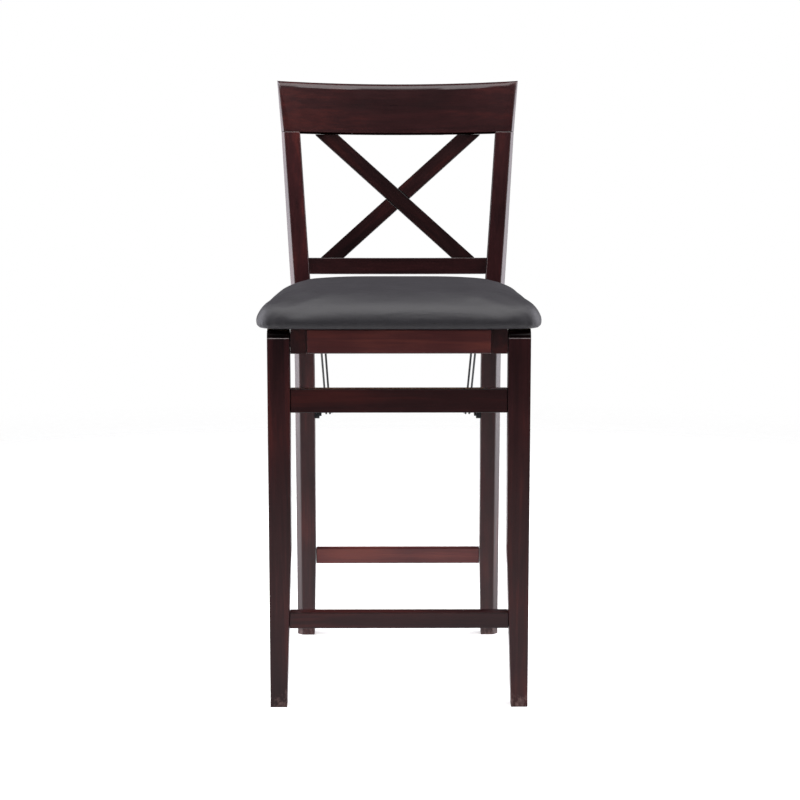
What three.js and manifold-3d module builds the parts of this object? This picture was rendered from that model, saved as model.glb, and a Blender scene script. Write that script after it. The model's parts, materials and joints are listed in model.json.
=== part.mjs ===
// Folding counter stool: wooden rear frame with an X back, front leg frame, cushioned seat and wire links.
// Millimetres, +Z up. The stool looks towards -Y, and +X is on the right of someone who faces its front.
import * as THREE from 'three';
import { mergeVertices } from 'three/addons/utils/BufferGeometryUtils.js';
import Module from 'manifold-3d';

const wasm = await Module();
wasm.setup();

// Clearances between pieces
const seam = 0.3;
const washerGap = 1.5;
const overrun = 2;
const flatSides = 16;

// Seat frame: two side rails with a front and a rear rail between them
const seatTop = 573;
const railHeight = 36;
const railThick = 23;
const seatFrameWidth = 319;
const seatFrameLength = 350;
const crossRailThick = 20;
const rearRailSetback = 4;
const boardThick = 12;
const boardInset = 16;
const blockLeg = 42;
const blockHeight = 26;
const pivotRise = 19;

// Cushion, with the widths that its sides would reach at the front and rear edges if its corners were square
const cushionFrontWidth = 432;
const cushionRearWidth = 404;
const cushionOverhang = 13;
const cushionRearOverhang = 10;
const cushionRearDepth = seatFrameLength + cushionRearOverhang;
const cushionEdge = 43;
const cushionCrown = 15;
const cushionCorner = 36;
const cushionWaist = 5;
const cushionSegments = 64;
const cornerGather = 0.6;

// Front leg frame
const legWidth = 33;
const legDepth = 28;
const legFootWidth = 25;
const legTaperHeight = 250;
const legHeadRise = 13;
const upperStretcherBottom = 449;
const upperStretcherHeight = 35.5;
const upperStretcherThick = 18;
const stretcherSetback = 2.5;
const footrestBottom = 121.5;
const footrestHeight = 24;
const footrestThick = 23;

// Rear posts, each one piece from the foot to the crest rail
const postOuter = 172.8;
const postWidth = 33;
const postFootWidth = 29.5;
const postTopWidth = 30.5;
const postDepth = 24;
const postChamfer = 8;
const postTopChamfer = 5;
const postFootTaper = 150;
const kneeSetback = 22;
const kneeFront = seatFrameLength + kneeSetback;
const kneeHeight = 600;
const kneeBlend = 80;
const lowerSlope = 0.0633;
const upperSlope = 0.1495;
const flareHeight = 520;
const flareSlope = 0.0605;
const flareBlend = 60;
const postTop = 860;
const postStations = 26;

// Crest rail, lower back rail and rear stretcher
const crestHeight = 86;
const crestThick = 22;
const crestHalfBottom = 193.5;
const crestHalfTop = 200.5;
const crestDip = 1.5;
const backSagitta = 22;
const backChordHalf = 195;
const backSteps = 20;
const lowerRailBottom = 626;
const lowerRailHeight = 27;
const lowerRailThick = 18;
const rearStretcherBottom = 127.5;
const rearStretcherHeight = 26;
const rearStretcherThick = 18;

// X slats
const slatWidth = 25.5;
const slatThick = 12;
const slatSetback = 18.5;
const slatTopHalf = 121;
const slatFootHalf = 111;

// Wire links and their pivots
const wireDiameter = 3.4;
const outerWireX = 120.5;
const innerWireX = 114.2;
const linkLegSetback = 2.7;
const linkLegHeight = 395;
const linkSeatRise = 7;
const linkPinDiameter = 6;
const pinShoulderDiameter = 9;
const pinHeadDiameter = 10;
const pinHeadThick = 2.4;
const eyeClear = 0.35;
const legFlangeDiameter = 27;
const legFlangeThick = 7.5;
const legHubDiameter = 19;
const legHubLength = 3.5;
const seatFlangeDiameter = 14;
const seatFlangeThick = 4;
const seatHubDiameter = 10;
const seatHubLength = 8;

// Pivot bolts of the front legs
const boltDiameter = 8;
const boltHeadDiameter = 17;
const boltHeadThick = 3;
const boltHeadSink = 2;
const nutDiameter = 11;
const nutLength = 14;
const washerDiameter = 22;

// Seat rests, dowels and screws
const restWidth = 16;
const restThick = 2.5;
const restReach = 33;
const restDrop = 38;
const restScrewDrop = 22;
const restScrewLength = 20;
const dowelDiameter = 9;
const dowelLength = 40;
const screwDiameter = 4;
const screwHeadDiameter = 8.5;
const screwHeadThick = 2.2;
const screwLength = 32;

// Places that follow from the sizes above
const railBottom = seatTop - railHeight;
const railOuter = seatFrameWidth / 2;
const railInner = railOuter - railThick;
const legInner = railOuter + washerGap;
const legOuter = legInner + legWidth;
const pivotY = legDepth / 2;
const pivotZ = railBottom + pivotRise;
const backRadius = (backChordHalf ** 2 + backSagitta ** 2) / (2 * backSagitta);
const lean = Math.atan(upperSlope);

const linkLegDepth = postFront(linkLegHeight) + linkLegSetback;

// The folded stool has the front legs just before the posts, and the seat upright over their pivots.
const foldGap = 6;
const foldedPivotY = kneeFront - foldGap - legDepth / 2;
// The link's seat pivot lies as far from its leg pivot with the stool open as it does with the stool folded.
const foldedLinkOffset = foldedPivotY + pivotRise - linkSeatRise - linkLegDepth;
const foldedLinkRise = pivotZ - pivotY - linkLegHeight;
const openLinkRise = railBottom + linkSeatRise - linkLegHeight;
const linkSeatY =
  (linkLegDepth ** 2 + openLinkRise ** 2 - foldedLinkOffset ** 2 - foldedLinkRise ** 2) /
  (2 * (linkLegDepth + foldedLinkRise));
const linkSeatZ = railBottom + linkSeatRise;

// Finishes
const darkWood = () => new THREE.MeshStandardMaterial({ color: 0x3a2224, roughness: 0.42, metalness: 0 });
const redWood = () => new THREE.MeshStandardMaterial({ color: 0x4a2728, roughness: 0.42, metalness: 0 });
const plainWood = () => new THREE.MeshStandardMaterial({ color: 0xb08a5a, roughness: 0.7, metalness: 0 });
const vinyl = () => new THREE.MeshStandardMaterial({ color: 0x47464b, roughness: 0.45, metalness: 0 });
const blackSteel = () => new THREE.MeshStandardMaterial({ color: 0x1c1c1e, roughness: 0.35, metalness: 0.9 });
const zincSteel = () => new THREE.MeshStandardMaterial({ color: 0x8d8f93, roughness: 0.4, metalness: 1 });
const nylon = () => new THREE.MeshStandardMaterial({ color: 0x161616, roughness: 0.6, metalness: 0 });

// A geometry as a solid that can be joined and cut
function toSolid(geometry) {
  const bare = geometry.index ? geometry.toNonIndexed() : geometry.clone();
  bare.deleteAttribute('normal');
  bare.deleteAttribute('uv');
  const merged = mergeVertices(bare, seam / flatSides ** 2);
  return new wasm.Manifold(
    new wasm.Mesh({
      numProp: 3,
      vertProperties: merged.attributes.position.array,
      triVerts: new Uint32Array(merged.index.array),
    }),
  );
}

function toGeometry(solid) {
  const made = solid.getMesh();
  const positions = new Float32Array(made.numVert * 3);
  for (let i = 0; i < made.numVert; i++) {
    positions.set(made.vertProperties.subarray(i * made.numProp, i * made.numProp + 3), i * 3);
  }
  const geometry = new THREE.BufferGeometry();
  geometry.setAttribute('position', new THREE.BufferAttribute(positions, 3));
  geometry.setIndex(new THREE.BufferAttribute(made.triVerts, 1));
  geometry.computeVertexNormals();
  return geometry;
}

// A block between two x, two y and two z values
function block(x0, x1, y0, y1, z0, z1) {
  const geometry = new THREE.BoxGeometry(x1 - x0, y1 - y0, z1 - z0);
  geometry.translate((x0 + x1) / 2, (y0 + y1) / 2, (z0 + z1) / 2);
  return toSolid(geometry);
}

// A round bar from one point to another
function bar(from, to, diameter, sides = flatSides) {
  const a = new THREE.Vector3(...from);
  const b = new THREE.Vector3(...to);
  const along = new THREE.Vector3().subVectors(b, a);
  const geometry = new THREE.CylinderGeometry(diameter / 2, diameter / 2, along.length(), sides);
  const up = new THREE.Vector3(0, 1, 0);
  const turn = new THREE.Quaternion().setFromUnitVectors(up, along.clone().normalize());
  geometry.applyQuaternion(turn);
  geometry.translate((a.x + b.x) / 2, (a.y + b.y) / 2, (a.z + b.z) / 2);
  return toSolid(geometry);
}

// Rings of points joined one to the next and closed at both ends
function loft(rings) {
  const points = rings.flat();
  const count = rings[0].length;
  const faces = [];
  for (let r = 0; r + 1 < rings.length; r++) {
    for (let i = 0; i < count; i++) {
      const a = r * count + i;
      const b = r * count + ((i + 1) % count);
      faces.push(a, b, b + count, a, b + count, a + count);
    }
  }
  const last = (rings.length - 1) * count;
  for (let i = 1; i + 1 < count; i++) {
    faces.push(0, i + 1, i, last, last + i, last + i + 1);
  }
  const geometry = new THREE.BufferGeometry();
  geometry.setAttribute('position', new THREE.BufferAttribute(new Float32Array(points.flat()), 3));
  geometry.setIndex(faces);
  const solid = toSolid(geometry);
  return solid.volume() > 0 ? solid : toSolid(turnedOut(geometry));
}

function turnedOut(geometry) {
  const index = geometry.index.array;
  for (let i = 0; i < index.length; i += 3) {
    [index[i + 1], index[i + 2]] = [index[i + 2], index[i + 1]];
  }
  return geometry;
}

const stool = new THREE.Group();
stool.name = 'folding_counter_stool';
const placed = new THREE.Group();
stool.add(placed);

function add(name, solid, material) {
  const mesh = new THREE.Mesh(toGeometry(solid), material);
  mesh.name = name;
  placed.add(mesh);
}

const sides = [
  { name: 'left', sign: -1 },
  { name: 'right', sign: 1 },
];

// A value that stays at nought, bends over a span either side of nought, and then follows its input
function ramp(value, span) {
  if (value < -span) return 0;
  if (value > span) return value;
  return (value + span) ** 2 / (4 * span);
}

// The posts' front face, their slope and their outer face at a height
function postFront(z) {
  const below = lowerSlope * ramp(kneeHeight - z, kneeBlend);
  const above = upperSlope * ramp(z - kneeHeight, kneeBlend);
  return kneeFront + below + above;
}

function postLean(z) {
  const step = seam;
  return z < step ? 0 : Math.atan((postFront(z + step) - postFront(z - step)) / (2 * step));
}

function postOuterAt(z) {
  return postOuter + flareSlope * ramp(z - flareHeight, flareBlend);
}

const flareShare = (z) => Math.max((z - flareHeight) / (postTop - flareHeight), 0);

function postWidthAt(z) {
  const footShare = Math.min(z / postFootTaper, 1);
  const wider = postFootWidth + (postWidth - postFootWidth) * footShare;
  return wider - (postWidth - postTopWidth) * flareShare(z);
}

function postInnerAt(z) {
  return postOuterAt(z) - postWidthAt(z);
}

// A post's section at a height: square inside, with both outer arrises chamfered
function postRing(z, sign) {
  const outer = postOuterAt(z);
  const inner = postInnerAt(z);
  const tilt = postLean(z);
  const cut = postChamfer - (postChamfer - postTopChamfer) * flareShare(z);
  const corners = [
    [inner, 0],
    [outer - cut, 0],
    [outer, cut],
    [outer, postDepth - cut],
    [outer - cut, postDepth],
    [inner, postDepth],
  ];
  return corners.map(([x, n]) => [sign * x, postFront(z) + n * Math.cos(tilt), z - n * Math.sin(tilt)]);
}

function postSolid(sign) {
  const rings = [];
  for (let i = 0; i <= postStations; i++) {
    rings.push(postRing((postTop * i) / postStations, sign));
  }
  return loft(rings);
}

// Moves a solid made along x, n (rearwards) and s (upwards) to lie against the posts at a height
function ontoBack(solid, z, tilt) {
  const turn = new THREE.Matrix4().makeRotationX(-tilt);
  turn.setPosition(0, postFront(z), z);
  const geometry = toGeometry(solid);
  geometry.applyMatrix4(turn);
  return toSolid(geometry);
}

// A board bent to the back's curve, upright, with its ends at two half widths
function bentBoard(halfBottom, halfTop, thick, bottom, top, dip) {
  const rings = [];
  for (let i = 0; i <= backSteps; i++) {
    const share = (2 * i) / backSteps - 1;
    const xBottom = share * halfBottom;
    const xTop = share * halfTop;
    const n = backSagitta - (share * (halfBottom + halfTop)) ** 2 / 4 / (2 * backRadius);
    const sink = dip * (1 - share ** 2);
    rings.push([
      [xBottom, n, bottom - sink],
      [xBottom, n + thick, bottom - sink],
      [xTop, n + thick, top - sink],
      [xTop, n, top - sink],
    ]);
  }
  return loft(rings);
}

// Rear frame
const lowerRailTop = lowerRailBottom + lowerRailHeight;
const lowerRailHalf = postInnerAt(lowerRailBottom) - seam;
const lowerRailTopHalf = postInnerAt(lowerRailTop) - seam;
const crestLocal = bentBoard(crestHalfBottom, crestHalfTop, crestThick, seam, crestHeight, crestDip)
  .subtract(block(-crestHalfTop, crestHalfTop, -crestThick, backSagitta + 2 * crestThick, -crestThick, seam));
const lowerRailLean = postLean(lowerRailBottom + lowerRailHeight / 2);
const lowerRail = ontoBack(
  bentBoard(lowerRailHalf, lowerRailTopHalf, lowerRailThick, 0, lowerRailHeight, 0),
  lowerRailBottom,
  lowerRailLean,
);

const dowelX = (postOuterAt(postTop) + postInnerAt(postTop)) / 2;
const dowelDepth = postDepth / 2 + crestThick / 8;

function crestDowel(sign, extra) {
  const half = dowelLength / 2 + extra;
  const local = bar(
    [sign * dowelX, dowelDepth, -half],
    [sign * dowelX, dowelDepth, half],
    dowelDiameter + 2 * extra,
  );
  return ontoBack(local, postTop, lean);
}

// Seat rests: steel angles that the side rails' rear ends stand on, each screwed to its post
const restInner = railOuter - restWidth - seam;
const restOuter = railOuter - seam;
const restTop = railBottom - seam;
const restFace = Math.min(postFront(restTop), postFront(restTop - restDrop)) - seam;
const restMiddle = (restInner + restOuter) / 2;

function restScrew(sign, extra) {
  const at = (y) => [sign * restMiddle, y, restTop - restScrewDrop];
  const seat = restFace - restThick - seam;
  const head = bar(at(seat - screwHeadThick), at(seat), screwHeadDiameter);
  const shank = bar(
    at(seat - screwHeadThick / 2),
    at(seat - screwHeadThick + restScrewLength + extra),
    screwDiameter + 2 * extra,
  );
  return extra ? shank : head.add(shank);
}

let crest = ontoBack(crestLocal, postTop, lean);
for (const { name, sign } of sides) {
  const hole = crestDowel(sign, seam);
  const screwHole = restScrew(sign, seam);
  crest = crest.subtract(hole);
  add(`${name}_post`, postSolid(sign).subtract(hole).subtract(screwHole), darkWood());
  const xs = [sign * restInner, sign * restOuter].sort((a, b) => a - b);
  const ledge = block(...xs, restFace - restReach, restFace, restTop - restThick, restTop);
  const leaf = block(...xs, restFace - restThick, restFace, restTop - restDrop, restTop);
  add(`${name}_seat_rest`, ledge.add(leaf).subtract(screwHole), blackSteel());
  add(`${name}_rest_screw`, restScrew(sign, 0), zincSteel());
  add(`${name}_crest_dowel`, crestDowel(sign, 0), plainWood());
}
add('crest_rail', crest, darkWood());
add('lower_back_rail', lowerRail, darkWood());

const rearStretcherMiddle = rearStretcherBottom + rearStretcherHeight / 2;
const rearStretcherFront = postFront(rearStretcherMiddle) + stretcherSetback;
const rearStretcherHalf = postInnerAt(rearStretcherBottom + rearStretcherHeight) - seam;
add(
  'rear_stretcher',
  block(
    -rearStretcherHalf,
    rearStretcherHalf,
    rearStretcherFront,
    rearStretcherFront + rearStretcherThick,
    rearStretcherBottom,
    rearStretcherBottom + rearStretcherHeight,
  ),
  redWood(),
);

// X slats, half lapped where they cross
const slatDrop = (postTop - lowerRailTop) / Math.cos(lean);

function slat(direction, widen, front, back) {
  const foot = [-direction * slatFootHalf, -slatDrop - slatWidth];
  const head = [direction * slatTopHalf, slatWidth];
  const run = new THREE.Vector2(direction * (slatTopHalf + slatFootHalf), slatDrop);
  const reach = slatWidth / slatDrop;
  const base = new THREE.Vector2(foot[0] - run.x * reach, foot[1]);
  const tip = new THREE.Vector2(head[0] + run.x * reach, head[1]);
  const across = new THREE.Vector2(-run.y, run.x).normalize().multiplyScalar(slatWidth / 2 + widen);
  const outline = [
    [base.x - across.x, base.y - across.y],
    [base.x + across.x, base.y + across.y],
    [tip.x + across.x, tip.y + across.y],
    [tip.x - across.x, tip.y - across.y],
  ];
  return loft([front, back].map((n) => outline.map(([x, s]) => [x, n, s])));
}

const slatBack = slatSetback + slatThick;
const slatMiddle = slatSetback + slatThick / 2;
const aboveCrest = block(
  -crestHalfTop,
  crestHalfTop,
  0,
  backSagitta + 2 * crestThick,
  -seam - crestDip,
  crestHeight,
);
const belowRail = block(
  -crestHalfTop,
  crestHalfTop,
  0,
  backSagitta + 2 * crestThick,
  -2 * slatDrop,
  -slatDrop - slatWidth / 8,
);
const railCut = lowerRail.add(lowerRail.translate([0, 0, seam]));
const lapForFront = slat(1, seam, slatMiddle - seam / 2, slatBack + overrun);
const lapForBack = slat(-1, seam, slatSetback - overrun, slatMiddle + seam / 2);
const frontSlat = slat(-1, 0, slatSetback, slatBack).subtract(lapForFront);
const backSlat = slat(1, 0, slatSetback, slatBack).subtract(lapForBack);
const slatPieces = [
  ['front_x_slat', frontSlat],
  ['rear_x_slat', backSlat],
];
for (const [name, piece] of slatPieces) {
  const trimmed = ontoBack(piece.subtract(aboveCrest).subtract(belowRail), postTop, lean);
  add(name, trimmed.subtract(railCut), darkWood());
}

// Seat frame
for (const { name, sign } of sides) {
  const xs = [sign * railInner, sign * railOuter].sort((a, b) => a - b);
  let rail = block(...xs, 0, seatFrameLength, railBottom, seatTop);
  rail = rail.subtract(
    bar(
      [sign * (railOuter + overrun), pivotY, pivotZ],
      [sign * (railInner - overrun), pivotY, pivotZ],
      nutDiameter + 2 * seam,
    ),
  );
  add(`seat_${name}_side_rail`, rail, redWood());
}
const crossHalf = railInner - seam;
add('seat_front_rail', block(-crossHalf, crossHalf, 0, crossRailThick, railBottom, seatTop), redWood());
const rearRailBack = seatFrameLength - rearRailSetback;
add(
  'seat_rear_rail',
  block(-crossHalf, crossHalf, rearRailBack - crossRailThick, rearRailBack, railBottom, seatTop),
  redWood(),
);

// Corner blocks with one screw each up into the seat board
const blockTop = seatTop - seam;
const blockBottom = blockTop - blockHeight;
const screwInset = blockLeg / 3;
for (const { name, sign } of sides) {
  const ends = [
    { end: 'front', corner: crossRailThick + seam, inward: 1 },
    { end: 'rear', corner: rearRailBack - crossRailThick - seam, inward: -1 },
  ];
  for (const { end, corner, inward } of ends) {
    const cornerX = sign * (railInner - seam);
    const outline = [
      [cornerX, corner],
      [cornerX - sign * blockLeg, corner],
      [cornerX, corner + inward * blockLeg],
    ];
    const screwX = cornerX - sign * screwInset;
    const screwY = corner + inward * screwInset;
    const hole = bar(
      [screwX, screwY, blockBottom - overrun],
      [screwX, screwY, blockTop + overrun],
      screwDiameter + 2 * seam,
    );
    const wedge = loft([blockBottom, blockTop].map((z) => outline.map(([x, y]) => [x, y, z])));
    add(`${end}_${name}_corner_block`, wedge.subtract(hole), plainWood());
    const head = bar(
      [screwX, screwY, blockBottom - seam - screwHeadThick],
      [screwX, screwY, blockBottom - seam],
      screwHeadDiameter,
    );
    const shank = bar(
      [screwX, screwY, blockBottom - seam - screwHeadThick / 2],
      [screwX, screwY, blockBottom - seam - screwHeadThick + screwLength],
      screwDiameter,
    );
    add(`${end}_${name}_seat_screw`, head.add(shank), zincSteel());
  }
}

// Seat board and cushion: wide in front, narrower behind, with slightly drawn-in sides and with round corners,
// where the outline's points are gathered
function seatOutline(inset, segments) {
  const front = -cushionOverhang;
  const depth = cushionRearDepth - front;
  const middle = front + depth / 2;
  const power = depth / cushionCorner;
  const points = [];
  for (let i = 0; i < segments; i++) {
    const even = (2 * Math.PI * i) / segments;
    const turn = even + (cornerGather * Math.sin(4 * even)) / 4;
    const c = Math.cos(turn);
    const s = Math.sin(turn);
    const shape = (Math.abs(c) ** power + Math.abs(s) ** power) ** (-1 / power);
    const along = s * shape;
    const across = c * shape;
    const half = (cushionFrontWidth * (1 - along) + cushionRearWidth * (1 + along)) / 4;
    const drawnX = cushionWaist * Math.abs(across) ** power * (1 - along ** 2);
    points.push([
      across * (half - inset) - Math.sign(across) * drawnX,
      middle + along * (depth / 2 - inset),
    ]);
  }
  return points;
}

// The cushion's side from the bottom up: how far in and how high it is, as shares of the edge's height
const sideShares = [
  [0.1, 0],
  [0.02, 0.1],
  [0, 0.3],
  [0.04, 0.55],
  [0.15, 0.75],
  [0.32, 0.9],
  [0.55, 1],
];

function cushionSolid() {
  const layers = sideShares.map(([inward, up]) => ({ inset: cushionEdge * inward, rise: cushionEdge * up }));
  const shoulder = layers[layers.length - 1].inset;
  const reach = cushionRearDepth / 2 - shoulder - cushionWaist;
  const crownSteps = 8;
  for (let i = 1; i <= crownSteps; i++) {
    const turn = ((Math.PI / 2) * i) / crownSteps;
    layers.push({
      inset: shoulder + (reach * i) / crownSteps,
      rise: cushionEdge + cushionCrown * Math.sin(turn),
    });
  }
  return loft(
    layers.map(({ inset, rise }) =>
      seatOutline(inset, cushionSegments).map(([x, y]) => [x, y, seatTop + seam + rise]),
    ),
  );
}

const boardSegments = 40;
function boardSolid(widen, extra) {
  return loft(
    [seatTop + seam - extra, seatTop + seam + boardThick + extra].map((z) =>
      seatOutline(boardInset - widen, boardSegments).map(([x, y]) => [x, y, z]),
    ),
  );
}
let board = boardSolid(0, 0);
for (const { sign } of sides) {
  for (const y of [crossRailThick + seam + screwInset, rearRailBack - crossRailThick - seam - screwInset]) {
    const x = sign * (railInner - seam - screwInset);
    const depth = blockBottom - seam - screwHeadThick + screwLength + seam;
    board = board.subtract(bar([x, y, seatTop - overrun], [x, y, depth], screwDiameter + 2 * seam));
  }
}
add('seat_board', board, plainWood());
add('seat_cushion', cushionSolid().subtract(boardSolid(seam, seam)), vinyl());

// Front leg frame: the legs have rounded heads, and their inner faces taper in to the feet
function legInnerAt(z) {
  return legInner + (legWidth - legFootWidth) * Math.max(1 - z / legTaperHeight, 0);
}

function frontLeg(sign) {
  const headRadius = ((legDepth / 2) ** 2 + legHeadRise ** 2) / (2 * legHeadRise);
  const headSweep = Math.asin(legDepth / 2 / headRadius);
  const headSteps = 8;
  const ring = (z, half) => [
    [sign * legInnerAt(z), legDepth / 2 - half, z],
    [sign * legOuter, legDepth / 2 - half, z],
    [sign * legOuter, legDepth / 2 + half, z],
    [sign * legInnerAt(z), legDepth / 2 + half, z],
  ];
  const rings = [0, legTaperHeight, seatTop - seam - legHeadRise].map((z) => ring(z, legDepth / 2));
  for (let i = 1; i < headSteps; i++) {
    const turn = headSweep * (1 - i / headSteps);
    rings.push(ring(seatTop - seam - headRadius * (1 - Math.cos(turn)), headRadius * Math.sin(turn)));
  }
  return loft(rings);
}

// A pivot bolt runs from a sunk head in the leg, through a washer, into a barrel nut in the side rail.
const headOuter = legOuter - boltHeadSink;
const headInner = headOuter - boltHeadThick;
for (const { name, sign } of sides) {
  const at = (x) => [sign * x, pivotY, pivotZ];
  const pocket = bar(at(headInner - seam), at(legOuter + overrun), boltHeadDiameter + 2 * seam);
  const bore = bar(at(legInner - overrun), at(legOuter), boltDiameter + 2 * seam);
  add(`${name}_front_leg`, frontLeg(sign).subtract(pocket).subtract(bore), darkWood());

  const head = bar(at(headInner), at(headOuter), boltHeadDiameter);
  const shank = bar(at(railInner + seam), at(headInner + boltHeadThick / 2), boltDiameter);
  add(`${name}_pivot_bolt`, head.add(shank), blackSteel());

  const washerHole = bar(at(railOuter - overrun), at(legInner + overrun), boltDiameter + 2 * seam);
  const washer = bar(at(railOuter + seam), at(legInner - seam), washerDiameter);
  add(`${name}_pivot_washer`, washer.subtract(washerHole), nylon());

  const nutOuter = railInner + nutLength;
  const nutHole = bar(at(railInner - overrun), at(nutOuter + overrun), boltDiameter + 2 * seam);
  const nut = bar(at(railInner + seam), at(nutOuter), nutDiameter);
  add(`${name}_barrel_nut`, nut.subtract(nutHole), zincSteel());
}

const upperHalf = legInner - seam;
add(
  'upper_stretcher',
  block(
    -upperHalf,
    upperHalf,
    stretcherSetback,
    stretcherSetback + upperStretcherThick,
    upperStretcherBottom,
    upperStretcherBottom + upperStretcherHeight,
  ),
  darkWood(),
);
const footrestTop = footrestBottom + footrestHeight;
const footrestInner = (z) => legInnerAt(z) - seam;
const footrestSection = (half, z) => [
  [-half, stretcherSetback, z],
  [half, stretcherSetback, z],
  [half, stretcherSetback + footrestThick, z],
  [-half, stretcherSetback + footrestThick, z],
];
add(
  'footrest_stretcher',
  loft([footrestBottom, footrestTop].map((z) => footrestSection(footrestInner(z), z))),
  darkWood(),
);

// Wire links: on each side two wires with end eyes share a pin on the rear leg and a pin on the seat
const eyeRadius = (linkPinDiameter + wireDiameter) / 2 + eyeClear;
const eyeSteps = 20;
const wireSides = 10;

function wireEye(x, y, z) {
  const geometry = new THREE.TorusGeometry(eyeRadius, wireDiameter / 2, wireSides, eyeSteps);
  geometry.rotateY(Math.PI / 2);
  geometry.translate(x, y, z);
  return toSolid(geometry);
}

function linkWire(x) {
  const low = new THREE.Vector3(x, linkLegDepth, linkLegHeight);
  const high = new THREE.Vector3(x, linkSeatY, linkSeatZ);
  const along = new THREE.Vector3().subVectors(high, low).normalize().multiplyScalar(eyeRadius);
  const from = low.clone().add(along);
  const to = high.clone().sub(along);
  return bar(from.toArray(), to.toArray(), wireDiameter, wireSides)
    .add(wireEye(x, low.y, low.z))
    .add(wireEye(x, high.y, high.z));
}

// A flanged hub on a wooden face, and in it a pin whose shoulder and head hold the two wires' eyes
function linkPivot(name, sign, face, [y, z], flange, hub) {
  const at = (x) => [sign * x, y, z];
  const hubStart = face - flange.thick;
  const hubEnd = hubStart - hub.length;
  const pinStart = face - flange.thick / 2;
  const eyesStart = outerWireX + wireDiameter / 2 + eyeClear;
  const eyesEnd = innerWireX - wireDiameter / 2 - eyeClear;

  const disc = bar(at(face), at(hubStart), flange.diameter, 2 * flatSides);
  const barrel = bar(at(hubStart + seam), at(hubEnd), hub.diameter, 2 * flatSides);
  const hole = bar(at(pinStart), at(hubEnd - overrun), linkPinDiameter + 2 * seam);
  add(`${name}_pivot_hub`, disc.add(barrel).subtract(hole), blackSteel());

  const shank = bar(at(pinStart - seam), at(eyesEnd - pinHeadThick / 2), linkPinDiameter);
  const shoulder = bar(at(hubEnd - seam), at(eyesStart), pinShoulderDiameter);
  const head = bar(at(eyesEnd), at(eyesEnd - pinHeadThick), pinHeadDiameter);
  add(`${name}_pivot_pin`, shank.add(shoulder).add(head), zincSteel());
}

const legFlange = { diameter: legFlangeDiameter, thick: legFlangeThick };
const legHub = { diameter: legHubDiameter, length: legHubLength };
const seatFlange = { diameter: seatFlangeDiameter, thick: seatFlangeThick };
const seatHub = { diameter: seatHubDiameter, length: seatHubLength };
for (const { name, sign } of sides) {
  add(`${name}_outer_link_wire`, linkWire(sign * outerWireX), blackSteel());
  add(`${name}_inner_link_wire`, linkWire(sign * innerWireX), blackSteel());
  const legFace = postInnerAt(linkLegHeight) - seam;
  linkPivot(`${name}_leg`, sign, legFace, [linkLegDepth, linkLegHeight], legFlange, legHub);
  linkPivot(`${name}_seat`, sign, railInner - seam, [linkSeatY, linkSeatZ], seatFlange, seatHub);
}

// The origin is on the floor under the middle of the whole stool.
const middle = new THREE.Box3().setFromObject(placed).getCenter(new THREE.Vector3());
placed.position.y = -middle.y;

export default stool;
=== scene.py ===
# Folding counter stool: dark varnished wood, charcoal vinyl and steel links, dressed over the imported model.
import math

import bpy
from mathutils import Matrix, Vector
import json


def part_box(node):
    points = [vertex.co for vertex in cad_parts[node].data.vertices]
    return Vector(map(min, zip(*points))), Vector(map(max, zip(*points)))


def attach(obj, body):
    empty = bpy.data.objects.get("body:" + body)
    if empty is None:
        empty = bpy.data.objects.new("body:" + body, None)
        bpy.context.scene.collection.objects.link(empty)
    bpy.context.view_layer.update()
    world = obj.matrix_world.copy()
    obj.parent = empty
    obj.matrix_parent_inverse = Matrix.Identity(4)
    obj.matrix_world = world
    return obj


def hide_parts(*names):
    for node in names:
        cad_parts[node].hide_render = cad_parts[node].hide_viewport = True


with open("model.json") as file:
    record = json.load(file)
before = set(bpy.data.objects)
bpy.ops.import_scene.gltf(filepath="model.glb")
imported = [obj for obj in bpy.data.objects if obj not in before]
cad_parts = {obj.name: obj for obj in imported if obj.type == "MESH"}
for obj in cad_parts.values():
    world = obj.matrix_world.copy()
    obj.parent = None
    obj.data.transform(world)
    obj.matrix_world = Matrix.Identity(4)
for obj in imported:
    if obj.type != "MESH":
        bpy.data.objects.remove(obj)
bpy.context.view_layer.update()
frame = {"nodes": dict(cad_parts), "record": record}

SIDES = {"left": -1, "right": 1}
NODES = frame["nodes"]
BODY_OF = {node: body for body, nodes in frame["record"]["behaviour"]["bodies"].items() for node in nodes}
SLOT_OF = {entry["node"]: entry["material_slot"] for entry in frame["record"]["subparts"]}

# Camera: in front of the stool, a little over seat height, tilted down to the middle of the stool
CAMERA_PLACE = (-0.0153, -2.951, 0.861)
CAMERA_TILT = math.radians(90 - 8.2)
CAMERA_TURN = math.radians(-0.351)
CAMERA_LENS = 84.02
CAMERA_SENSOR = 36
CAMERA_REACH = 200

# Copies of the solids: the gap that joins points, and the bend that still counts as one flat face
MERGE_GAP = 0.00001
FLAT_WITHIN = math.radians(0.15)

# Edges of the wood: how far they are eased, the shortest edge that is, and the bends that count as edges
EASED_EDGE = 0.0011
LEG_EDGE = 0.0018
METAL_EDGE = 0.0004
SHORTEST_EASED = 0.0019
SHARP = math.radians(30)
SHARP_HEAD = math.radians(8)
SMOOTH_WITHIN = math.radians(36)
CUSHION_SMOOTH_WITHIN = math.radians(60)
EDGE_STEPS = 3
LARGE_FACES_FIRST = 100

# The crest rail: its rounding, the shares of it at the rail's ends and on the lesser edges, and its chamfers
CREST_EDGE = 0.0125
CREST_CORNER_SHARE = 0.72
CREST_EDGE_SHARE = 0.1
CREST_CHAMFER = 0.0038
CREST_TOP_BAND = 0.012

# The rounded heads of the front legs
LEG_HEAD_RISE = 0.013
# The largest face of the line where a head begins, which gets a painted highlight
HEAD_LINE_AREA = 0.0001


def deselect():
    for chosen in list(bpy.context.selected_objects):
        chosen.select_set(False)


def activate(piece):
    deselect()
    piece.select_set(True)
    bpy.context.view_layer.objects.active = piece


def apply_all(piece):
    activate(piece)
    for modifier in list(piece.modifiers):
        bpy.ops.object.modifier_apply(modifier=modifier.name)


# Shader maths


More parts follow.
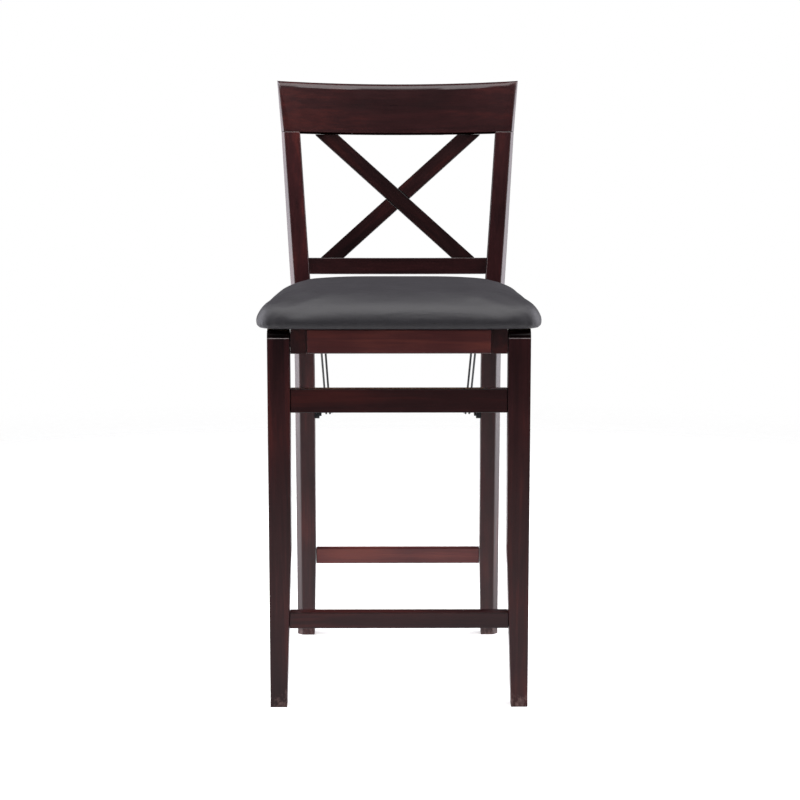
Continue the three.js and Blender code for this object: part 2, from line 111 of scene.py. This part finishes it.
class Value:
    """What one socket gives. Maths on values adds the Math nodes."""

    def __init__(self, nodes, socket):
        self.nodes = nodes
        self.socket = socket

    def maths(self, operation, first, second):
        return self.nodes.node("ShaderNodeMath", {"operation": operation}, {0: first, 1: second})

    def __add__(self, other):
        return self.maths("ADD", self, other)

    def __radd__(self, other):
        return self.maths("ADD", other, self)

    def __sub__(self, other):
        return self.maths("SUBTRACT", self, other)

    def __rsub__(self, other):
        return self.maths("SUBTRACT", other, self)

    def __mul__(self, other):
        return self.maths("MULTIPLY", self, other)

    def __rmul__(self, other):
        return self.maths("MULTIPLY", other, self)


class Nodes:
    """The nodes of a material or of the air. node() adds any node, from its type, settings and inputs."""

    def __init__(self, tree):
        self.tree = tree

    def node(self, kind, settings=None, inputs=None, output=0):
        made = self.tree.nodes.new(kind)
        for key, value in (settings or {}).items():
            if key == "stops":
                set_stops(made.color_ramp, value)
            else:
                setattr(made, key, value)
        for key, value in (inputs or {}).items():
            self.feed(made.inputs[key], value)
        return Value(self, made.outputs[output])

    def feed(self, socket, value):
        if isinstance(value, Value):
            self.tree.links.new(value.socket, socket)
        else:
            socket.default_value = value


class Finish(Nodes):
    """One material, with the patterns that the finishes share"""

    def __init__(self, name):
        self.material = bpy.data.materials.new(name)
        self.material.use_nodes = True
        super().__init__(self.material.node_tree)
        self.shader = self.tree.nodes["Principled BSDF"]

    def place(self, scale, turn=(0, 0, 0), shift=(0, 0, 0)):
        """Object coordinates, turned and scaled."""
        coordinates = self.node("ShaderNodeTexCoord", output="Object")
        inputs = {"Vector": coordinates, "Rotation": turn, "Location": shift}
        moved = self.node("ShaderNodeMapping", {}, inputs)
        return self.node("ShaderNodeVectorMath", {"operation": "MULTIPLY"}, {0: moved, 1: scale})

    def height(self):
        """How far up the piece a point is."""
        return self.node("ShaderNodeSeparateXYZ", {}, {0: self.place((1, 1, 1))}, output=2)

    def fade(self, value, start, end, interpolation="LINEAR"):
        """From 1 where the value is at its start to 0 at its end."""
        inputs = {"Value": value, "From Min": start, "From Max": end, "To Min": 1, "To Max": 0}
        return self.node("ShaderNodeMapRange", {"interpolation_type": interpolation}, inputs)

    def noise(self, place, scale=1, detail=3, roughness=0.55, distortion=0):
        inputs = {"Vector": place, "Scale": scale, "Detail": detail, "Roughness": roughness}
        inputs["Distortion"] = distortion
        return self.node("ShaderNodeTexNoise", {}, inputs)

    def ramp(self, share, stops):
        return self.node("ShaderNodeValToRGB", {"stops": stops}, {"Fac": share})

    def mix(self, share, first, second):
        settings = {"data_type": "RGBA"}
        return self.node("ShaderNodeMix", settings, {0: share, 6: first, 7: second}, output=2)

    def bump(self, height, distance, strength, below=None):
        inputs = {"Height": height, "Distance": distance, "Strength": strength}
        if below:
            inputs["Normal"] = below
        return self.node("ShaderNodeBump", {}, inputs)

    def set(self, **sockets):
        for key, value in sockets.items():
            self.feed(self.shader.inputs[key.replace("_", " ")], value)
        return self.material


def set_stops(color_ramp, stops):
    while len(color_ramp.elements) < len(stops):
        color_ramp.elements.new(1)
    for element, (position, colour) in zip(color_ramp.elements, stops):
        element.position = position
        element.color = colour


def rgb(red, green, blue):
    return (red, green, blue, 1)


# Finishes of the wood

GRAIN_ALONG = 2.2
GRAIN_ACROSS = 42
RUN_SCALES = {
    "x": (GRAIN_ALONG, GRAIN_ACROSS, GRAIN_ACROSS),
    "y": (GRAIN_ACROSS, GRAIN_ALONG, GRAIN_ACROSS),
    "z": (GRAIN_ACROSS, GRAIN_ACROSS, GRAIN_ALONG),
}
STAINS = {
    "dark_wood": (rgb(0.0090, 0.0031, 0.0038), rgb(0.028, 0.0070, 0.0079), rgb(0.075, 0.0135, 0.0115)),
    "red_wood": (rgb(0.028, 0.0068, 0.0078), rgb(0.062, 0.0138, 0.0138), rgb(0.125, 0.0290, 0.0210)),
    "plain_wood": (rgb(0.300, 0.180, 0.090), rgb(0.450, 0.290, 0.160), rgb(0.560, 0.390, 0.230)),
}
STAIN_SHARES = (0.30, 0.52, 0.74)
# A paler stain: on eased edges partly wear and partly a painted highlight, on the front legs' head lines a
# painted highlight
WORN_AND_HIGHLIGHT_STAIN = rgb(0.26, 0.23, 0.23)
SCUFFED_STAIN = rgb(0.20, 0.12, 0.11)
SCUFF_HEIGHT = 0.06
SCUFF_STOPS = [(0.60, rgb(0, 0, 0)), (0.76, rgb(0.55, 0.55, 0.55))]
PORE_DEPTH = 0.00012
VARNISH = 0.08
VARNISH_ROUGHNESS = 0.16
BARE_ROUGHNESS = 0.25


def wood(name, slot, run, seed, turn, tone_and_shade, gloss, wear_and_light=0, scuffed=False):
    """Stained wood with its grain along one axis.

    tone_and_shade deepens or lightens the whole stain, partly as the wood's own tone and partly as painted
    light and shade.
    wear_and_light above nought mixes in a paler stain, partly wear and partly a painted highlight, and below
    nought it darkens the stain as painted shade. A scuffed piece has pale marks near the floor. Without gloss
    there is no varnish."""
    finish = Finish(name)
    bare = slot == "plain_wood"
    stains = [rgb(*(channel * tone_and_shade for channel in stain[:3])) for stain in STAINS[slot]]
    place = finish.place(RUN_SCALES[run], turn=(0, turn, 0), shift=(seed, seed / 2, seed / 3))
    bands = finish.noise(place, detail=4, roughness=0.6, distortion=0.8)
    streaks = finish.noise(place, scale=7, detail=5, roughness=0.7)
    blotches = finish.noise(finish.place((6, 6, 6), shift=(seed, 0, seed)), detail=2)
    pores = finish.noise(place, scale=26, detail=2)
    share = bands * 0.55 + streaks * 0.25 + blotches * 0.45 - 0.12 + wear_and_light * 0.25
    colour = finish.ramp(share, list(zip(STAIN_SHARES, stains)))
    # A paler stain on edges and lines: partly wear and partly a painted highlight
    if wear_and_light > 0:
        colour = finish.mix(streaks * wear_and_light, colour, WORN_AND_HIGHLIGHT_STAIN)
    if scuffed:
        marks = finish.noise(finish.place((90, 90, 60), shift=(seed, 0, 0)), detail=4, roughness=0.7)
        nearness = finish.fade(finish.height(), 0, SCUFF_HEIGHT)
        scuff = finish.ramp(marks * 0.75 + nearness * 0.3, SCUFF_STOPS)
        colour = finish.mix(scuff * nearness, colour, SCUFFED_STAIN)
    return finish.set(
        Base_Color=colour,
        Roughness=0.20 + streaks * 0.14 + blotches * 0.08 + (BARE_ROUGHNESS if bare else 0),
        Specular_IOR_Level=gloss,
        Coat_Weight=VARNISH if gloss and not bare else 0,
        Coat_Roughness=VARNISH_ROUGHNESS,
        Normal=finish.bump(streaks * 0.6 + pores * 0.4, PORE_DEPTH, 0.55),
    )


# Finishes of the metal, the washers, the vinyl and the floor

# For each metal its colour, its roughness, how metallic it is, where its pattern starts, and its gloss
METALS = {
    "black_enamel": (rgb(0.004, 0.004, 0.005), 0.5, 0, 1, 0.1),
    "grey_steel": (rgb(0.030, 0.032, 0.032), 0.5, 0, 2, 0.15),
    "zinc_plate": (rgb(0.42, 0.42, 0.44), 0.34, 1, 3, 0.5),
}
STEEL_DULL_SHARE = 0.55
STEEL_SCRATCH_DEPTH = 0.00004
NYLON_GRAIN_DEPTH = 0.00003
VINYL_STOPS = [(0.2, rgb(0.0135, 0.0125, 0.0150)), (0.8, rgb(0.0205, 0.0189, 0.0226))]
VINYL_GRAIN_DEPTH = 0.00018
VINYL_FOLD_DEPTH = 0.0034
HEM_HEIGHT = 0.03
FLOOR_RADIUS = 3.2
FLOOR_CLEAR = 1.4
FLOOR_GLOW = 0.34
FLOOR_SIDES = 96


def steel(name, colour, roughness, metallic, seed, gloss):
    finish = Finish(name)
    cloud = finish.noise(finish.place((1, 1, 1), shift=(seed, 0, 0)), scale=180, detail=3)
    scratches = finish.noise(finish.place((1400, 200, 1400)), detail=2)
    dull = rgb(*(channel * STEEL_DULL_SHARE for channel in colour[:3]))
    return finish.set(
        Base_Color=finish.mix(cloud * 0.5, colour, dull),
        Metallic=metallic,
        Specular_IOR_Level=gloss,
        Roughness=roughness + cloud * 0.18,
        Normal=finish.bump(cloud * 0.7 + scratches * 0.3, STEEL_SCRATCH_DEPTH, 0.5),
    )


def nylon():
    finish = Finish("black_nylon")
    grain = finish.noise(finish.place((900, 900, 900)), detail=2)
    return finish.set(
        Base_Color=rgb(0.012, 0.012, 0.013),
        Roughness=0.5 + grain * 0.15,
        Normal=finish.bump(grain, NYLON_GRAIN_DEPTH, 0.4),
    )


def vinyl():
    """Charcoal vinyl: a fine pebbled grain, soft creases, puckers near its lower edge and a broad sheen."""
    finish = Finish("charcoal_vinyl")
    place = finish.place((1, 1, 1))
    pebbled = {"Vector": place, "Scale": 620, "Smoothness": 0.6}
    pebbles = finish.node("ShaderNodeTexVoronoi", {"feature": "SMOOTH_F1"}, pebbled)
    pores = finish.noise(place, scale=1500, detail=2)
    creases = finish.noise(finish.place((9, 16, 26)), detail=3, roughness=0.6, distortion=0.7)
    mottle = finish.noise(place, scale=55, detail=4)
    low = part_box("seat_cushion")[0][2]
    hem = finish.fade(finish.height(), low, low + HEM_HEIGHT)
    puckers = finish.noise(finish.place((170, 170, 6)), detail=2, distortion=0.3)
    grain = finish.bump(pebbles * 0.7 + pores * 0.3, VINYL_GRAIN_DEPTH, 0.55)
    folds = creases * 0.7 + puckers * hem * 0.5
    return finish.set(
        Base_Color=finish.ramp(mottle * 0.6 + pebbles * 0.35, VINYL_STOPS),
        Roughness=0.48 + mottle * 0.10,
        Specular_IOR_Level=0.29,
        Normal=finish.bump(folds, VINYL_FOLD_DEPTH, 0.6, below=grain),
    )


def studio_floor():
    """A pale floor that fades into the air at its rim."""
    finish = Finish("pale_floor")
    place = finish.place((1, 1, 1))
    cloud = finish.noise(place, scale=3, detail=3)
    distance = finish.node("ShaderNodeVectorMath", {"operation": "LENGTH"}, {0: place}, output="Value")
    return finish.set(
        Base_Color=finish.mix(cloud, rgb(0.80, 0.80, 0.80), rgb(0.82, 0.82, 0.82)),
        Roughness=0.8,
        Specular_IOR_Level=0.1,
        Alpha=finish.fade(distance, FLOOR_CLEAR, FLOOR_RADIUS * 0.95, "SMOOTHSTEP"),
        Emission_Color=rgb(1, 1, 1),
        Emission_Strength=FLOOR_GLOW,
    )


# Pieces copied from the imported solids, with their edges eased


def merged_copy(node, name):
    source = NODES[node]
    piece = source.copy()
    piece.data = source.data.copy()
    piece.name = name
    piece.data.name = name
    bpy.context.scene.collection.objects.link(piece)
    piece.parent = None
    piece.matrix_world = source.matrix_world.copy()
    piece.data.materials.clear()
    activate(piece)
    bpy.ops.object.mode_set(mode="EDIT")
    bpy.ops.mesh.select_all(action="SELECT")
    bpy.ops.mesh.remove_doubles(threshold=MERGE_GAP)
    bpy.ops.mesh.dissolve_limited(angle_limit=FLAT_WITHIN)
    bpy.ops.object.mode_set(mode="OBJECT")
    return piece


def ease_edges(piece, width, shortest, share, sharp):
    """Rounds the sharp edges of a piece that are long enough, and gives the new faces its last finish.

    share says how much of the width an edge gets, from the edge's two ends."""
    mesh = piece.data
    normals = {}
    for face in mesh.polygons:
        for key in face.edge_keys:
            normals.setdefault(key, []).append(face.normal.copy())
    weights = mesh.attributes.new("bevel_weight_edge", "FLOAT", "EDGE")
    for edge in mesh.edges:
        pair = normals[edge.key]
        start, end = (mesh.vertices[i].co for i in edge.vertices)
        if len(pair) == 2 and pair[0].angle(pair[1]) > sharp and (end - start).length > shortest:
            weights.data[edge.index].value = share(start, end)
    bevel = piece.modifiers.new("eased edges", "BEVEL")
    bevel.limit_method = "WEIGHT"
    bevel.width = width
    bevel.segments = EDGE_STEPS
    bevel.material = len(mesh.materials) - 1
    bevel.use_clamp_overlap = piece.name != "crest_rail_wood"
    apply_all(piece)


def finish_piece(piece, node, angle):
    activate(piece)
    bpy.ops.object.shade_smooth_by_angle(angle=angle)
    weighted = piece.modifiers.new("flat faces stay flat", "WEIGHTED_NORMAL")
    weighted.weight = LARGE_FACES_FIRST
    weighted.keep_sharp = True
    apply_all(piece)
    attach(piece, BODY_OF[node])
    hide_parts(node)


def whole_width(start, end):
    return 1


def end_cuts(piece, depth):
    """The planes that take off the front corners at the ends of a piece, along the corners' own lean"""
    places = [vertex.co.copy() for vertex in piece.data.vertices]
    cuts = []
    for side in SIDES.values():
        corners = sorted(places, key=lambda place: place.x * side)[-4:]
        foot = min(corners, key=lambda place: place.y)
        top = min((corner for corner in corners if corner.z > foot.z + depth), key=lambda place: place.y)
        along = top - foot
        outward = Vector((side, -1, 0))
        outward -= outward.project(along)
        outward.normalize()
        cuts.append((foot - outward * depth, outward))
    return cuts


def cut_off(piece, place, outward):
    activate(piece)
    bpy.ops.object.mode_set(mode="EDIT")
    bpy.ops.mesh.select_all(action="SELECT")
    bpy.ops.mesh.bisect(plane_co=place, plane_no=outward, use_fill=True, clear_outer=True)
    bpy.ops.object.mode_set(mode="OBJECT")


def dress(
    node, name, finishes, width=0, shortest=SHORTEST_EASED, share=whole_width, sharp=SHARP, pick=None, cut=0
):
    """A CAD piece with its edges eased and, by a cut's depth, its front corners taken off at the ends.

    pick says which of the finishes a face has, or None to leave it."""
    piece = merged_copy(node, name)
    cuts = end_cuts(piece, cut) if cut else []
    for material in finishes:
        piece.data.materials.append(material)
    if width:
        ease_edges(piece, width, shortest, share, sharp)
    for place, outward in cuts:
        cut_off(piece, place, outward)
    if pick:
        for face in piece.data.polygons:
            picked = pick(face)
            if picked is not None:
                face.material_index = picked
    finish_piece(piece, node, SMOOTH_WITHIN)


# The wooden pieces

SLAT_ACROSS = 0.232
SLAT_UP = 0.209
SLAT_RUN = math.atan2(SLAT_ACROSS, SLAT_UP)

# For each wooden piece the axis of its grain, the turn of the grain about Y, and the tone and shade of its
# stain
# The tones are partly the wood's own and partly painted light and shade: the left post is lighter and the
# right post darker, painted as light from the left
WOOD_RUNS = {
    "left_post": ("z", 0, 1.1),
    "right_post": ("z", 0, 0.85),
    "crest_rail": ("x", 0, 0.74),
    "lower_back_rail": ("x", 0, 0.78),
    "rear_stretcher": ("x", 0, 1.3),
    "front_x_slat": ("z", SLAT_RUN, 0.38),
    "rear_x_slat": ("z", -SLAT_RUN, 0.5),
    "seat_left_side_rail": ("y", 0, 0.5),
    "seat_right_side_rail": ("y", 0, 0.5),
    "seat_front_rail": ("x", 0, 0.83),
    "seat_rear_rail": ("x", 0, 1),
    "left_front_leg": ("z", 0, 0.8),
    "right_front_leg": ("z", 0, 0.8),
    "upper_stretcher": ("x", 0, 0.56),
    "footrest_stretcher": ("x", 0, 0.75),
    "front_left_corner_block": ("x", 0, 1),
    "front_right_corner_block": ("x", 0, 0.95),
    "rear_left_corner_block": ("x", 0, 0.9),
    "rear_right_corner_block": ("x", 0, 1.05),
    "left_crest_dowel": ("z", 0, 1),
    "right_crest_dowel": ("z", 0, 1),
    "seat_board": ("x", 0, 1),
}
GRAIN_STEP = 1.7
# A nearly black tone: painted shade on the front legs' heads and on the crest rail's top and bottom lines
PAINTED_SHADE_TONE = 0.12
END_TONE = 0.5
BACK_GLOSS = 0.24
FRONT_GLOSS = 0.12
HEAD_GLOSS = 0.05
CHAMFER_GLOSS = 0.6
CREST_EDGE_GLOSS = 0.25
# How strongly the head line's paler stain, a painted highlight, is mixed in
HEAD_LINE_PAINTED_HIGHLIGHT = 2
# Partly wear and partly a painted highlight: how far the other eased edges are lightened
WORN_AND_GLINT_EDGE = 0.2
# Painted shade: how far the eased edges of slats, rails and stretchers are darkened
PAINTED_SHADE_EDGE = -0.8

# How far back in the crest rail's box its front edge can lie, in the middle, and how much less at the ends
CREST_FRONT_REACH = 0.75
CREST_FRONT_FALL = 0.5

# For faces with a finish of their own, how far their normals lean along an axis
CREST_CHAMFER_ACROSS = (0.5, 0.9)
CREST_CHAMFER_UP = 0.3
# The crest rail's faces that look up or down this much get painted shade
CREST_SHADED_TOP_UP = 0.9
CREST_SHADED_UNDER_UP = -0.2
POST_CHAMFER_ACROSS = (0.4, 0.95)
POST_CHAMFER_UP = 0.4
END_GRAIN_ALONG = 0.9
# Faces of a front leg's head that look up this much get painted shade
SHADED_HEAD_UP = 0.05
HEAD_LINE_ALONG = 0.8
HEAD_LINE_REACH = 0.8 * LEG_EDGE


def crest_share(start, end):
    """The crest rail's upper front edge is rounded, most in its middle. Its other edges are only eased."""
    low, high = (Vector(corner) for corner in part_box("crest_rail"))
    crosswise = abs(start.x - end.x) > abs(start.y - end.y)
    upper = crosswise and min(start.z, end.z) > high.z - CREST_TOP_BAND
    middle = (start + end) / 2
    outward = (middle.x / high.x) ** 2
    behind = middle.y - low.y > (high.y - low.y) * (CREST_FRONT_REACH - CREST_FRONT_FALL * outward)
    if behind or not upper:
        return CREST_EDGE_SHARE
    return 1 - (1 - CREST_CORNER_SHARE) * outward


def head_height():
    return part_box("left_front_leg")[1][2] - LEG_HEAD_RISE


def leg_share(start, end):
    """A front leg's rounded head isn't eased, but the line where it begins and the rest of the leg are."""
    return 0 if min(start.z, end.z) > head_height() + LEG_EDGE else 1


def leg_face(face):
    """The head of a front leg, which gets painted shade, and the line in front and behind where it begins,
    which gets a painted highlight
    """
    above = face.center.z - head_height()
    in_line = abs(above) < HEAD_LINE_REACH and abs(face.normal.y) > HEAD_LINE_ALONG
    if in_line and face.area < HEAD_LINE_AREA:
        return 2
    return 1 if above > 0 and face.normal.z > SHADED_HEAD_UP else None


def rail_face(face):
    """The end grain of a rail that runs from front to back"""
    return 1 if abs(face.normal.y) > END_GRAIN_ALONG else None


def is_chamfer(face, across, up):
    """A face that looks partly sideways and hardly up or down"""
    return across[0] < abs(face.normal.x) < across[1] and abs(face.normal.z) < up


def post_face(face):
    """The chamfers on a post's outer arrises"""
    return 1 if is_chamfer(face, POST_CHAMFER_ACROSS, POST_CHAMFER_UP) else None


def crest_face(face):
    """The crest rail's top and bottom lines are darkened as painted shade, and its ends have glossy chamfers.
    """
    if is_chamfer(face, CREST_CHAMFER_ACROSS, CREST_CHAMFER_UP):
        return 2
    return 1 if face.normal.z > CREST_SHADED_TOP_UP or face.normal.z < CREST_SHADED_UNDER_UP else None


def wooden_pieces():
    for seed, (node, (run, turn, tone_and_shade)) in enumerate(WOOD_RUNS.items(), 1):
        slot = SLOT_OF[node]
        gloss = FRONT_GLOSS if BODY_OF[node] == "front_frame" else BACK_GLOSS
        scuffed = node.endswith(("_post", "_front_leg"))
        lines = seed * GRAIN_STEP
        face = wood(f"{node}_{slot}", slot, run, lines, turn, tone_and_shade, gloss, scuffed=scuffed)
        if node == "crest_rail":
            # Painted shade: a nearly black, unvarnished stain on the crest rail's top and bottom lines
            dark = wood(f"{node}_painted_shade_line", slot, run, lines, turn, PAINTED_SHADE_TONE, 0)
            edge = wood(f"{node}_edge", slot, run, lines, turn, tone_and_shade, CREST_EDGE_GLOSS)
            end = wood(f"{node}_end", slot, run, lines, turn, tone_and_shade, CHAMFER_GLOSS)
            finishes = [face, dark, end, edge]
            shaping = {"width": CREST_EDGE, "share": crest_share, "pick": crest_face, "cut": CREST_CHAMFER}
        elif node.endswith("_post"):
            edge = wood(f"{node}_edge", slot, run, lines, turn, tone_and_shade, CHAMFER_GLOSS, scuffed=scuffed)
            finishes = [face, edge]
            shaping = {"width": EASED_EDGE, "pick": post_face}
        elif node.endswith("_front_leg"):
            # Painted shade: the head's nearly black stain stands for the shadow under the cushion
            head = wood(f"{node}_head", slot, run, lines, turn, PAINTED_SHADE_TONE, HEAD_GLOSS)
            # Painted highlight: a paler stain on the line where the head begins
            line = wood(f"{node}_head_highlight_line", slot, run, lines, turn, tone_and_shade, gloss, HEAD_LINE_PAINTED_HIGHLIGHT)
            edge = wood(f"{node}_edge", slot, run, lines, turn, tone_and_shade, gloss, scuffed=scuffed)
            finishes = [face, head, line, edge]
            shaping = {"width": LEG_EDGE, "share": leg_share, "sharp": SHARP_HEAD, "pick": leg_face}
        elif node.endswith("side_rail"):
            end = wood(f"{node}_end_grain", "dark_wood", run, lines, turn, END_TONE, gloss)
            # Painted shade: the side rails' eased edges get a darker stain
            finishes = [face, end, wood(f"{node}_edge", slot, run, lines, turn, tone_and_shade, gloss, PAINTED_SHADE_EDGE)]
            shaping = {"width": LEG_EDGE, "pick": rail_face}
        else:
            # Painted shade: the eased edges of the slats, the front rail and the stretchers get a darker
            # stain, widest on the front rail under the cushion
            shade_edged = node.endswith(("x_slat", "front_rail", "stretcher"))
            # The other pieces' eased edges get a paler stain, partly wear and partly a painted highlight
            edge_wear_and_light = PAINTED_SHADE_EDGE if shade_edged else WORN_AND_GLINT_EDGE
            finishes = [face, wood(f"{node}_edge", slot, run, lines, turn, tone_and_shade, gloss, edge_wear_and_light)]
            shaping = {"width": LEG_EDGE if node == "seat_front_rail" else EASED_EDGE}
        dress(node, f"{node}_wood", finishes, **shaping)


def metal_pieces():
    black, grey, zinc = (steel(name, *look) for name, look in METALS.items())
    washer = nylon()
    for side in SIDES:
        dress(f"{side}_outer_link_wire", f"{side}_outer_wire", [grey])
        dress(f"{side}_inner_link_wire", f"{side}_inner_wire", [black])
        for kind in ("leg_pivot_hub", "seat_pivot_hub", "pivot_bolt", "seat_rest"):
            dress(f"{side}_{kind}", f"{side}_{kind}_steel", [black], METAL_EDGE, METAL_EDGE)
        for kind in ("leg_pivot_pin", "seat_pivot_pin", "barrel_nut", "rest_screw"):
            dress(f"{side}_{kind}", f"{side}_{kind}_zinc", [zinc], METAL_EDGE, METAL_EDGE)
        for end in ("front", "rear"):
            node = f"{end}_{side}_seat_screw"
            dress(node, f"{node}_zinc", [zinc], METAL_EDGE, METAL_EDGE)
        dress(f"{side}_pivot_washer", f"{side}_pivot_washer_nylon", [washer], METAL_EDGE, METAL_EDGE)


# Cushion: foam and vinyl over the seat board, swollen by a cloth simulation

# The start: a little smaller than the solid, with its sides filled out between the corners
CUSHION_SHRINK = 0.997
CUSHION_SIDE_FILL = 0.026
CUSHION_FLATTEN = 0.98
CUSHION_VOXEL = 0.005
# The rounding over, which begins above the lower edge, before and after the cloth
SOFT_FROM = 0.006
SOFT_SPAN = 0.02
SOFT_STEPS = 20
SETTLED_STEPS = 25
SOFT_FACTOR = 0.5
# The cloth
CUSHION_PRESSURE = 4
CUSHION_STIFFNESS = 40
CUSHION_BENDING = 8
CUSHION_QUALITY = 5
CUSHION_FRAMES = 20
CUSHION_CAP = 0.005
PINNED_BELOW = 0.008


def cushion_body():
    piece = merged_copy("seat_cushion", "cushion_cover")
    low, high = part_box("seat_cushion")
    low, high = Vector(low), Vector(high)
    middle = (low + high) / 2
    for vertex in piece.data.vertices:
        along = (vertex.co.y - middle.y) / (high.y - middle.y)
        filled = CUSHION_SHRINK + CUSHION_SIDE_FILL * max(1 - along ** 2, 0)
        vertex.co.x = middle.x + (vertex.co.x - middle.x) * filled
        vertex.co.y = middle.y + (vertex.co.y - middle.y) * CUSHION_SHRINK
        vertex.co.z = low.z + (vertex.co.z - low.z) * CUSHION_FLATTEN
    remesh = piece.modifiers.new("even mesh", "REMESH")
    remesh.mode = "VOXEL"
    remesh.voxel_size = CUSHION_VOXEL
    apply_all(piece)
    soft = piece.vertex_groups.new(name="soft")
    for vertex in piece.data.vertices:
        share = (vertex.co.z - low.z - SOFT_FROM) / SOFT_SPAN
        soft.add([vertex.index], min(max(share, 0), 1), "REPLACE")
    soften(piece, SOFT_STEPS)
    return piece, low


def soften(piece, steps):
    """Rounds the cushion over, except for its lower edge."""
    round_over = piece.modifiers.new("round over", "SMOOTH")
    round_over.vertex_group = "soft"
    round_over.factor = SOFT_FACTOR
    round_over.iterations = steps
    apply_all(piece)


def swell(piece, floor_height):
    """Blows the cushion up as cloth, holding its underside, and caps how far each point moves."""
    start = [vertex.co.copy() for vertex in piece.data.vertices]
    held = piece.vertex_groups.new(name="held")
    held.add([v.index for v in piece.data.vertices if v.co.z < floor_height + PINNED_BELOW], 1, "REPLACE")
    cloth = piece.modifiers.new("swell", "CLOTH")
    cloth.settings.use_pressure = True
    cloth.settings.uniform_pressure_force = CUSHION_PRESSURE
    cloth.settings.effector_weights.gravity = 0
    cloth.settings.vertex_group_mass = "held"
    cloth.settings.tension_stiffness = CUSHION_STIFFNESS
    cloth.settings.compression_stiffness = CUSHION_STIFFNESS
    cloth.settings.bending_stiffness = CUSHION_BENDING
    cloth.settings.quality = CUSHION_QUALITY
    scene = bpy.context.scene
    for step in range(1, CUSHION_FRAMES + 1):
        scene.frame_set(step)
    apply_all(piece)
    scene.frame_set(1)
    for vertex, before in zip(piece.data.vertices, start):
        move = vertex.co - before
        if move.length > CUSHION_CAP:
            vertex.co = before + move * (CUSHION_CAP / move.length)


def cushion():
    piece, low = cushion_body()
    swell(piece, low.z)
    soften(piece, SETTLED_STEPS)
    smooth = piece.modifiers.new("smooth cover", "SUBSURF")
    smooth.levels = smooth.render_levels = 1
    apply_all(piece)
    piece.data.materials.append(vinyl())
    finish_piece(piece, "seat_cushion", CUSHION_SMOOTH_WITHIN)


# Studio


AIR_STOPS = [
    (0, rgb(0.03, 0.03, 0.03)),
    (0.35, rgb(0.05, 0.05, 0.05)),
    (0.6, rgb(0.6, 0.6, 0.6)),
    (1, rgb(1.1, 1.1, 1.1)),
]
AIR_SEEN = rgb(1, 1, 1)
WHITE = (1, 1, 1)
COOL = (0.93, 0.92, 1)

# Each light's place, the point that it faces, its width and height, its power and its colour
LIGHTS = {
    "top_light": ((0, -0.35, 2.6), (0, -0.2, 0.4), (3.4, 1.5), 98, WHITE),
    "left_light": ((-1.65, 0.4, 0.95), (0, 0.1, 0.6), (1.15, 1.9), 36, COOL),
    "right_light": ((1.65, 0.4, 0.95), (0, 0.1, 0.6), (1.15, 1.9), 34, COOL),
    "front_light": ((0.4, -2.2, 3.4), (0, 0, 0.5), (1.4, 1.4), 26, WHITE),
}


def studio():
    bpy.ops.mesh.primitive_circle_add(vertices=FLOOR_SIDES, radius=FLOOR_RADIUS, fill_type="NGON")
    floor = bpy.context.object
    floor.name = "studio_floor"
    floor.data.materials.append(studio_floor())


def softbox(name, place, aim, size, power, colour):
    light = bpy.data.lights.new(name, "AREA")
    light.shape = "RECTANGLE"
    light.size, light.size_y = size
    light.energy = power
    light.color = colour
    lamp = bpy.data.objects.new(name, light)
    bpy.context.scene.collection.objects.link(lamp)
    lamp.location = place
    lamp.visible_camera = False
    lamp.rotation_euler = (Vector(aim) - Vector(place)).to_track_quat("-Z", "Y").to_euler()


def lighting():
    for name, light in LIGHTS.items():
        softbox(name, *light)
    studio_air()


def studio_air():
    """White to the camera. It lights the stool from both sides more than from in front or behind."""
    world = bpy.data.worlds.new("studio_air")
    bpy.context.scene.world = world
    world.use_nodes = True
    air = Nodes(world.node_tree)
    direction = air.node("ShaderNodeTexCoord", output="Generated")
    across = air.node("ShaderNodeSeparateXYZ", {}, {0: direction}, output="X")
    sideways = air.node("ShaderNodeMath", {"operation": "ABSOLUTE"}, {0: across})
    glow = air.node("ShaderNodeValToRGB", {"stops": AIR_STOPS}, {"Fac": sideways})
    lit = air.node("ShaderNodeBackground", {}, {"Color": glow})
    seen = air.node("ShaderNodeBackground", {}, {"Color": AIR_SEEN})
    to_camera = air.node("ShaderNodeLightPath", output="Is Camera Ray")
    choice = air.node("ShaderNodeMixShader", {}, {0: to_camera, 1: lit, 2: seen})
    air.feed(air.tree.nodes["World Output"].inputs["Surface"], choice)


def camera():
    lens = bpy.data.cameras.new("photo_camera")
    lens.lens = CAMERA_LENS
    lens.sensor_width = CAMERA_SENSOR
    lens.clip_end = CAMERA_REACH
    eye = bpy.data.objects.new("photo_camera", lens)
    bpy.context.scene.collection.objects.link(eye)
    eye.location = CAMERA_PLACE
    eye.rotation_euler = (CAMERA_TILT, 0, CAMERA_TURN)
    bpy.context.scene.camera = eye


bpy.context.scene.view_settings.view_transform = "Standard"
camera()
wooden_pieces()
metal_pieces()
cushion()
studio()
lighting()
